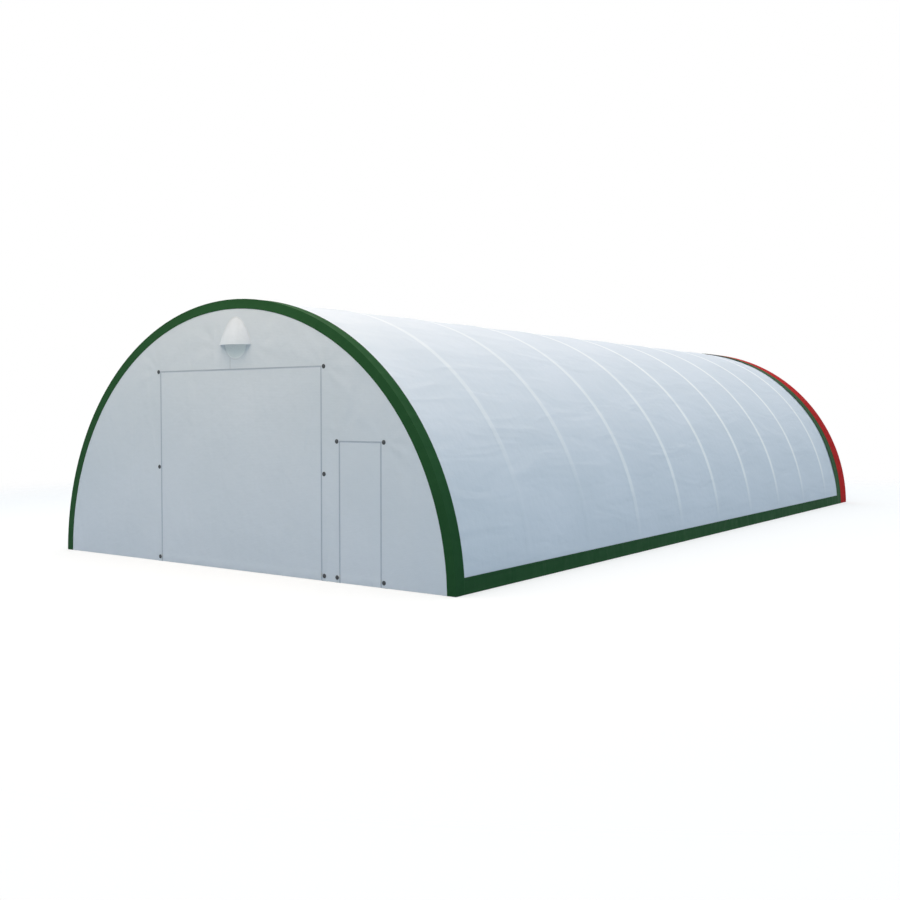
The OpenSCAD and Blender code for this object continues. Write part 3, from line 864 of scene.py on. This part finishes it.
def arc_stitches(radius, y, end=0):
    """A path for stitches round the arc, on the roof or, where end is -1 or 1, on an end wall."""
    start = hem_angle(radius, 0.02)
    angles = np.linspace(start, math.pi - start, 241)
    up = (0, end, 0) if end else [(math.cos(a), 0, math.sin(a)) for a in angles]
    return [arc_point(radius, a, y) for a in angles], up


def base_stitches(side):
    """A path for stitches along the top hem of a base band."""
    radius = BAND_R + HEM_T
    angle = hem_angle(radius, BASE_BAND - 0.014)
    x, _, height = arc_point(radius, angle, 0)
    stations = np.linspace(FRONT_BAND - END_Y + 0.03, REAR_FROM - 0.03, 60)
    return [(side * x, y, height) for y in stations], (side * math.cos(angle), 0, math.sin(angle))


arc_band("front_edge_trim", *corner_lines(FRONT_BAND, -1), GREEN, "green_band", "front_edge_band")
arc_band("rear_edge_trim", *corner_lines(REAR_BINDING, 1), RED, "red_binding", "rear_edge_binding")
arc_band("rear_green_band",
         [*((BAND_R + up, REAR_FROM + across) for across, up in HEM), (BAND_R, REAR_TO)],
         [(BAND_R - FABRIC, REAR_FROM), (BAND_R - FABRIC, REAR_TO)],
         GREEN, "green_band", "rear_edge_band")
base_band("left_base_trim", -1, "left_base_band")
base_band("right_base_trim", 1, "right_base_band")

roof_r, face_r = BAND_R + HEM_T, BAND_R - FACE_BAND + HEM_W / 2
green_rows = [arc_stitches(roof_r, -END_Y + FRONT_BAND - STITCH_IN),
              arc_stitches(face_r, -END_Y - HEM_T, -1),
              arc_stitches(roof_r, REAR_FROM + STITCH_IN), base_stitches(-1), base_stitches(1)]
red_rows = [arc_stitches(roof_r, REAR_TO + STITCH_IN), arc_stitches(face_r, END_Y + HEM_T, 1)]
repeat_on_paths("green_band_stitching", STITCH, green_rows, STITCH_PITCH, GREEN_THREAD)
repeat_on_paths("red_binding_stitching", STITCH, red_rows, STITCH_PITCH, RED_THREAD)


# ---------------------------------------------------------------- zips and fastener pads

def doorway_corners(door, offset=0.0, low=HEM_Z):
    """Corners of a line up one side of a doorway, over its head and down the other side."""
    x, width, head = door
    left, right, top = x - width / 2 - offset, x + width / 2 + offset, head + offset
    return [(left, low), (left, top), (right, top), (right, low)]


def zip_tape(name, door, node):
    """The tape of a zip: a flat strip with a corded edge on each side."""
    edge = ((ZIP_W / 2, 0.0), (ZIP_W / 2, 0.0018), (ZIP_W / 2 - 0.002, 0.0022),
            (ZIP_W / 2 - 0.0035, ZIP_T))
    lines = [[(x, -WALL_Y - depth, z) for x, z in doorway_corners(door, offset)]
             for offset, depth in [*((-across, out) for across, out in edge), *edge[::-1]]]
    corners, steps = np.swapaxes(lines, 0, 1), 24
    rings = [a + (b - a) * k / steps for a, b in zip(corners, corners[1:]) for k in range(steps)]
    finish_piece(sweep(name, [*rings, corners[-1]]), [node], ZIP_TAPE)


def slider(x, z):
    """A zip slider with its pull tab hanging down."""
    made = join("slider", [
        rounded_bar("slider_body", 0.026, 0.015, 0.0065, 0.002),
        rounded_bar("slider_crown", 0.012, 0.005, 0.0095, 0.0015),
        moved(rounded_bar("slider_pull", 0.050, 0.010, 0.0026, 0.0008), -0.026, 0, 0.0068)])
    made.data.transform(Matrix(((0, 1, 0, x), (0, 0, -1, -WALL_Y - ZIP_T), (1, 0, 0, z),
                                (0, 0, 0, 1))))
    face_outwards(made)
    return made


zip_tape("main_door_zip_tape", MAIN_DOOR, "main_door_zip")
zip_tape("side_door_zip_tape", SIDE_DOOR, "side_door_zip")
zip_paths = [([(x, -WALL_Y - ZIP_T, z) for x, z in
               divided(doorway_corners(door, low=HEM_Z + 0.02), 0.05)], (0, -1, 0))
             for door in DOORS]
repeat_on_paths("zip_teeth", TOOTH_PAIR, zip_paths, TOOTH_PITCH, ZIP_NYLON)
sliders = [slider(x + side * width / 2, SLIDER_Z) for x, width, head in DOORS for side in (-1, 1)]
finish_piece(join("zip_sliders", sliders), material=ZINC)

pad_heights = ((LOW_PAD_Z, MAIN_DOOR[2] / 2, MAIN_DOOR[2]), (LOW_PAD_Z, SIDE_DOOR[2]))
pads = [((x + side * (width / 2 + JAMB_OUT), -WALL_Y, z), (1, 0, 0), (0, -1, 0))
        for (x, width, head), heights in zip(DOORS, pad_heights) for side in (-1, 1)
        for z in heights]
repeat_on_points("door_corner_fasteners", PAD, pads, PAD_NYLON,
                 ["door_fasteners"])


# ---------------------------------------------------------------- vents

def hood_reach(height, inset=0.0):
    """The radius of the hood about its own axis at a height over its lower edge."""
    return HOOD_CURVE[0] + math.sqrt((HOOD_SIDE_R - inset) ** 2 - (height - HOOD_CURVE[1]) ** 2)


def hood_ring(height, inset, count, end):
    """Points round the hood at a height over its lower edge, from one side to the other."""
    reach = hood_reach(height, inset)
    spread = math.acos(min(1, HOOD_AXIS / reach))
    ring = []
    for turn in np.linspace(-spread, spread, count + 1):
        out = max(reach * math.cos(turn) - HOOD_AXIS, 0)
        ring.append((VENT_X + reach * math.sin(turn), end * (WALL_Y + out), HOOD_Z + height))
    return ring


def vent_hood(name, end, node):
    """The bell-shaped hood over a vent: a moulded tarpaulin shell, open below, with a rolled rim
    and a welded edge on the wall. It gives the path of the stitches along that edge."""
    # The rows lie closer together higher up, and stop just short of the top.
    rows, count = 28, 36
    heights = [0.9995 * HOOD_H * (1 - (1 - k / rows) ** 1.6) for k in range(rows + 1)]
    outer, inner = (np.array(rings).reshape(-1, 3) for rings in (
        [hood_ring(h, 0.0, count, end) for h in heights],
        [hood_ring(min(h, HOOD_H - 0.006), HOOD_T, count, end) for h in heights]))
    shell = make_object(name + "_shell", *closed_sheet(outer, inner, grid_faces(rows + 1, count + 1)))
    face_outwards(shell)
    rim = strip_along(name + "_rim", hood_ring(0.003, 0.002, 60, end), (0, 0, 1),
                      circle_loop(0, 0, HOOD_RIM_R, 10))

    side = [(math.sqrt(hood_reach(h) ** 2 - HOOD_AXIS ** 2), HOOD_Z + h)
            for h in np.linspace(0.004, HOOD_H - 0.004, 60)]
    edge = np.array([(VENT_X + w, end * WALL_Y, z) for w, z in side] +
                    [(VENT_X - w, end * WALL_Y, z) for w, z in side[::-1]])
    welt = strip_along(name + "_welt", edge, (0, end, 0), [(-end * across, out) for across, out in (
        (-0.006, 0.0002), (0.018, 0.0002), (0.018, 0.0012), (0.016, 0.0018), (0.0, 0.0022),
        (-0.006, 0.0022))])
    hood = join(name, [shell, rim, welt])
    x, y, z = vertex_places(hood.data)
    give_uv(hood.data, x, z + y)
    finish_piece(hood, [node], HOOD_WHITE, crease=50)
    stitch_out, welt_t = 0.009, 0.0018
    away = edge[::2] - (VENT_X, end * WALL_Y, HOOD_Z + 0.05)
    away *= stitch_out / np.linalg.norm(away, axis=1)[:, None]
    return edge[::2] + away + (0, end * welt_t, 0), (0, end, 0)


hood_rows = [vent_hood("front_hood", -1, "front_vent_hood"),
             vent_hood("rear_hood", 1, "rear_vent_hood")]
repeat_on_paths("hood_stitching", STITCH, hood_rows, STITCH_PITCH, WHITE_THREAD)


def vent_screen(name, end, node):
    """A woven insect screen in a welded ring. Its strands are really 1 mm apart; they are drawn
    8 mm apart and 6 mm wide so that the weave can show."""
    pitch, width, half_t, reach = 0.008, 0.0062, 0.0004, VENT_R - 0.001
    lanes = int(reach / pitch)
    strands = []
    for off in pitch * np.arange(-lanes, lanes + 1):
        half = math.sqrt(reach ** 2 - off ** 2)
        for upright, middle in ((False, -half_t), (True, half_t)):
            section = [(-width / 2, middle - half_t), (width / 2, middle - half_t),
                       (width / 2, middle + half_t), (-width / 2, middle + half_t)]
            strands.append([(off + across if upright else along,
                             end * (WALL_Y - FABRIC / 2 + depth),
                             along if upright else off + across)
                            for along in (-half, half) for across, depth in section])
    faces = []
    for a in range(0, 8 * len(strands), 8):
        faces += [(a + j, a + 4 + j, a + 4 + (j + 1) % 4, a + (j + 1) % 4) for j in range(4)]
        faces += [(a, a + 1, a + 2, a + 3), (a + 4, a + 5, a + 6, a + 7)]
    weave = moved(make_object(name + "_weave", np.vstack(strands), faces), VENT_X, 0, VENT_Z)
    face_outwards(weave)
    section = ((-0.012, -0.0045), (0.0, -0.0045), (0.0, 0.0002), (0.014, 0.0002), (0.014, 0.0014),
               (0.012, 0.0018), (-0.010, 0.0018), (-0.012, 0.0012))
    loops = [circle_loop(VENT_X, VENT_Z, VENT_R + wider, 72) for wider, out in section]
    ring = sweep(name + "_ring", [[(x, end * (WALL_Y + out), z) for (x, z), (_, out) in
                                   zip(around, section)] for around in zip(*loops)], closed=True)
    weave.data.materials.append(SCREEN_YARN)
    ring.data.materials.append(SCREEN_BINDING)
    finish_piece(join(name, [weave, ring]), [node])


vent_screen("front_screen", -1, "front_vent_screen")
vent_screen("rear_screen", 1, "rear_vent_screen")


# ---------------------------------------------------------------- steel frame

for node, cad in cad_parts.items():
    if node.startswith("arch_") or node.endswith(("purlin", "rail", "post", "header", "girt")):
        cad.data.materials.clear()
        cad.data.materials.append(STEEL)
        cad.data.shade_smooth()
        cad.data.set_sharp_from_angle(angle=math.radians(30))


def square_tube(name, node):
    """A square tube with the round corners of rolled section, where the CAD has a sharp-edged
    bar."""
    low, high = (np.array(corner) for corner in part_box(node))
    run = int(np.argmax(high - low))
    across = [k for k in range(3) if k != run]
    section = []
    for quarter, sides in enumerate(((1, 1), (-1, 1), (-1, -1), (1, -1))):
        reach = (high - low)[across] / 2 - TUBE_CORNER_R
        centre = ((low + high) / 2)[across] + np.array(sides) * reach
        for turn in np.radians(np.linspace(0, 90, 5) + 90 * quarter):
            section.append(centre + TUBE_CORNER_R * np.array((math.cos(turn), math.sin(turn))))
    rings = np.empty((2, len(section), 3))
    for ring, end in zip(rings, (low[run], high[run])):
        ring[:, across], ring[:, run] = section, end
    finish_piece(sweep(name, rings), [node], STEEL, crease=30)


for name, node in (("left_rail_tube", "left_base_rail"), ("right_rail_tube", "right_base_rail"),
                   ("main_header_tube", "main_door_header"),
                   ("side_header_tube", "side_door_header"), ("rear_girt_tube", "rear_girt")):
    square_tube(name, node)

foot_out_x = (COVER_R - FABRIC) * math.cos(hem_angle(COVER_R - FABRIC, FOOT_T)) - FIT / 2
foot_reach = WALL_Y - FABRIC - FIT / 2 - FOOT_W / 2
foot_ys = [max(-foot_reach, min(foot_reach, y)) for y in ARCH_YS]
post_y = WALL_Y - FABRIC - FIT
bolts = [(side * (foot_out_x - FOOT_L + BOLT_INSET), y + gap, FOOT_T)
         for y in foot_ys for side in (-1, 1) for gap in (-BOLT_GAP / 2, BOLT_GAP / 2)]
bolts += [(x, end * (post_y - (POST_W + FOOT_W) / 2), FOOT_T) for x, end in POSTS]
repeat_on_points("foot_anchor_bolts", ANCHOR, [(place, (1, 0, 0), (0, 0, 1)) for place in bolts],
                 ZINC, crease=30)

# Weld beads on the plates, round the hall side of each arch and post and along each base rail,
# and round the ends of the headers and the girt
bead_r, foot_x = TUBE_R + BEAD_OUT, ARCH_R * math.cos(hem_angle(ARCH_R, FOOT_T))
welds = [([(side * (foot_x + bead_r * math.cos(a)), y + bead_r * math.sin(a), FOOT_T)
           for a in np.radians(np.linspace(125, 235, 24))], (0, 0, 1))
         for y in ARCH_YS for side in (-1, 1)]
for x, end in POSTS:
    half, inner = POST_W / 2 + BEAD_OUT, end * (post_y - POST_W - BEAD_OUT)
    outer = inner + end * (POST_W - 0.005)
    welds.append(([(x - half, outer, FOOT_T), (x - half, inner, FOOT_T),
                   (x + half, inner, FOOT_T), (x + half, outer, FOOT_T)], (0, 0, 1)))
rail_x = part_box("right_base_rail")[0].x
welds += [([(side * rail_x, y - FOOT_W / 2, FOOT_T), (side * rail_x, y + FOOT_W / 2, FOOT_T)],
           (0, 0, 1)) for y in foot_ys for side in (-1, 1)]
for node in ("main_door_header", "side_door_header", "rear_girt"):
    low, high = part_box(node)
    outer, inner = (low.y, high.y) if low.y < 0 else (high.y, low.y)
    welds += [([(x, outer, high.z), (x, inner, high.z), (x, inner, low.z), (x, outer, low.z)],
               (into, 0, 0)) for x, into in ((low.x, 1), (high.x, -1))]
repeat_on_paths("frame_weld_beads", WELD_RIPPLE, welds, RIPPLE_PITCH, STEEL,
                crease=60)


def saddle(name, radius, half_length, spread, along_x):
    """Part of a pressed shell that hugs a tube on its hall side. The tube lies along X or Y of the
    clamp's own frame, whose Z points into the hall."""
    turn = np.linspace(-spread, spread, 9)
    loop = [(r * math.sin(a), r * math.cos(a))
            for r, turns in ((radius, turn), (radius + CLAMP_T, turn[::-1])) for a in turns]
    return sweep(name, [[(s, p, q) if along_x else (p, s, q) for p, q in loop]
                        for s in (-half_length, half_length)])


def hex_bolt(name, y, z):
    """A hexagon bolt head on its washer, facing along Z."""
    return moved(lathe(name, [(0.0, 0.0), (0.0100, 0.0), (0.0100, 0.0016), (0.0075, 0.0016),
                              (0.0080, 0.0022), (0.0080, 0.0068), (0.0072, 0.0075),
                              (0.0, 0.0075)], 6), 0, y, z)


def clamp_shape(name, sides):
    """A cross clamp seen from the hall: one saddle over the arch, which runs along X, and one over
    each purlin end beside it, with bolts through them."""
    over_arch, over_purlin = TUBE_R + CLAMP_FIT, PURLIN_R + CLAMP_FIT
    wing_out, bolt_out, bolt_up = TUBE_R + 0.040, TUBE_R + 0.052, 0.0034
    parts = [saddle(name + "_arch", over_arch, half_length=0.034, spread=math.radians(58), along_x=True)]
    for side in sides:
        wing = saddle(name + "_purlin", over_purlin, half_length=0.036, spread=math.radians(75),
                      along_x=False)
        parts += [moved(wing, 0, side * wing_out, 0),
                  hex_bolt(name + "_bolt", side * bolt_out, PURLIN_R + bolt_up)]
    return join(name, [*parts, hex_bolt(name + "_bolt", 0, TUBE_R + bolt_up)])


CROSS_CLAMP = clamp_shape("cross_clamp_shape", (-1, 1))
END_CLAMP = clamp_shape("end_clamp_shape", (1,))
crossings, ends = [], []
for line in range(1, 6):
    angle = FOOT_ANGLE + PURLIN_STEP * line
    along, into_hall = (np.array((-math.sin(angle), 0, math.cos(angle))),
                        (-math.cos(angle), 0, -math.sin(angle)))
    crossings += [(arc_point(ARCH_R, angle, y), along, into_hall) for y in ARCH_YS[1:-1]]
    ends += [(arc_point(ARCH_R, angle, ARCH_YS[0]), along, into_hall),
             (arc_point(ARCH_R, angle, ARCH_YS[-1]), -along, into_hall)]
repeat_on_points("purlin_cross_clamps", CROSS_CLAMP, crossings, STEEL,
                 crease=30)
repeat_on_points("purlin_end_clamps", END_CLAMP, ends, STEEL, crease=30)

for shape in (STITCH, TOOTH_PAIR, PAD, ANCHOR, WELD_RIPPLE, CROSS_CLAMP, END_CLAMP):
    bpy.data.objects.remove(shape)


# ---------------------------------------------------------------- camera, light and floor

scene = bpy.context.scene
camera_data = bpy.data.cameras.new("camera")
camera_data.lens, camera_data.sensor_width, camera_data.clip_end = 42.12, 36.0, 200.0
camera = add_object("camera", camera_data)
camera.location = (13.1511, -22.1280, 2.6004)
camera.rotation_euler = (math.pi / 2 - 0.03413, 0.0, 0.62138)
scene.camera = camera


def soft_box(name, size, place, aim, strength, colour):
    """A rectangular studio light of even brightness that faces the point it aims at."""
    data = bpy.data.lights.new(name, "AREA")
    data.shape = "RECTANGLE"
    data.size, data.size_y = size
    data.energy = strength * math.pi * size[0] * size[1]
    data.color = colour
    light = add_object(name, data)
    light.location = place
    light.rotation_euler = (Vector(aim) - Vector(place)).to_track_quat("-Z", "Y").to_euler()
    light.visible_camera = False


def seen_rays(tree):
    """1 for what the camera sees, directly or in a gloss or through glass, and 0 otherwise."""
    ray = add_node(tree, "ShaderNodeLightPath").outputs
    seen = add_node(tree, "ShaderNodeMath", {0: ray["Is Camera Ray"], 1: ray["Is Glossy Ray"]},
                    operation="MAXIMUM")
    return add_node(tree, "ShaderNodeMath", {0: seen, 1: ray["Is Transmission Ray"]}, operation="MAXIMUM")


def studio_sky():
    """A background that is seen as white and lights the shelter like a sky, bluer higher up."""
    world = bpy.data.worlds.new("studio")
    world.use_nodes = True
    tree = world.node_tree
    tree.nodes.clear()
    place = add_node(tree, "ShaderNodeTexCoord").outputs["Generated"]
    up = add_node(tree, "ShaderNodeSeparateXYZ", {0: place}).outputs["Z"]
    rise = add_node(tree, "ShaderNodeMapRange", {"Value": up, "From Min": 0.0, "From Max": 0.8})
    sky = add_node(tree, "ShaderNodeMix", {
        "Factor": rise, COLOUR_A: (0.30, 0.38, 0.33, 1), COLOUR_B: (0.28, 0.53, 0.83, 1)},
        data_type="RGBA").outputs[MIXED]
    colour = add_node(tree, "ShaderNodeMix", {
        "Factor": seen_rays(tree), COLOUR_A: sky, COLOUR_B: (1, 1, 1, 1)},
        data_type="RGBA").outputs[MIXED]
    light = add_node(tree, "ShaderNodeBackground", {"Color": colour, "Strength": 1.0})
    add_node(tree, "ShaderNodeOutputWorld", {"Surface": light})
    return world


def pale_floor():
    """A matt floor. What is seen of it is half white light, so that only soft shadows show. It
    fades out round the shelter and can't be seen from below."""
    corners = [(x, y, 0) for x, y in rectangle(0, 120, -60, 60)]
    floor = make_object("studio_floor", corners, [(0, 1, 2, 3)])
    material, tree = new_material("pale_floor")
    seen = seen_rays(tree)
    place = add_node(tree, "ShaderNodeTexCoord").outputs["Object"]
    reach = add_node(tree, "ShaderNodeVectorMath", {0: place}, operation="LENGTH").outputs["Value"]
    fade = add_node(tree, "ShaderNodeMapRange", {"Value": reach, "From Min": 13.0, "From Max": 24.0},
                    interpolation_type="SMOOTHSTEP")
    below = add_node(tree, "ShaderNodeNewGeometry").outputs["Backfacing"]
    gone = add_node(tree, "ShaderNodeMath", {0: fade, 1: below}, operation="MAXIMUM")
    colour = add_node(tree, "ShaderNodeMix", {
        "Factor": seen, COLOUR_A: (0.44, 0.48, 0.52, 1), COLOUR_B: (1.0, 0.97, 0.93, 1)},
        data_type="RGBA").outputs[MIXED]
    matt = add_node(tree, "ShaderNodeBsdfDiffuse", {"Color": colour})
    white = add_node(tree, "ShaderNodeEmission", {"Color": (1, 1, 1, 1), "Strength": 1.0})
    half = add_node(tree, "ShaderNodeMath", {0: seen, 1: 0.5}, operation="MULTIPLY")
    lit = add_node(tree, "ShaderNodeMixShader", {0: half, 1: matt, 2: white})
    clear = add_node(tree, "ShaderNodeBsdfTransparent")
    mixed = add_node(tree, "ShaderNodeMixShader", {0: gone, 1: lit, 2: clear})
    add_node(tree, "ShaderNodeOutputMaterial", {"Surface": mixed})
    floor.data.materials.append(material)


soft_box("overhead_softbox", (44.0, 60.0), (0, 0, 16.0), (0, 0, 0), 0.78, (1.22, 0.985, 0.72))
soft_box("front_softbox", (26.0, 8.0), (-4.0, -24.0, 11.0), (0, -10, 2.0), 0.50, (1.19, 1.0, 0.80))
soft_box("front_top_softbox", (9.0, 3.0), (0.5, -13.0, 8.3), (0, -10, 4.3), 1.70,
         (1.32, 1.0, 0.68))
soft_box("side_softbox", (40.0, 8.0), (26.0, 0.0, 9.0), (4, 0, 1), 0.18, (0.58, 1.0, 1.38))
scene.world = studio_sky()
pale_floor()
scene.view_settings.view_transform = "Standard"
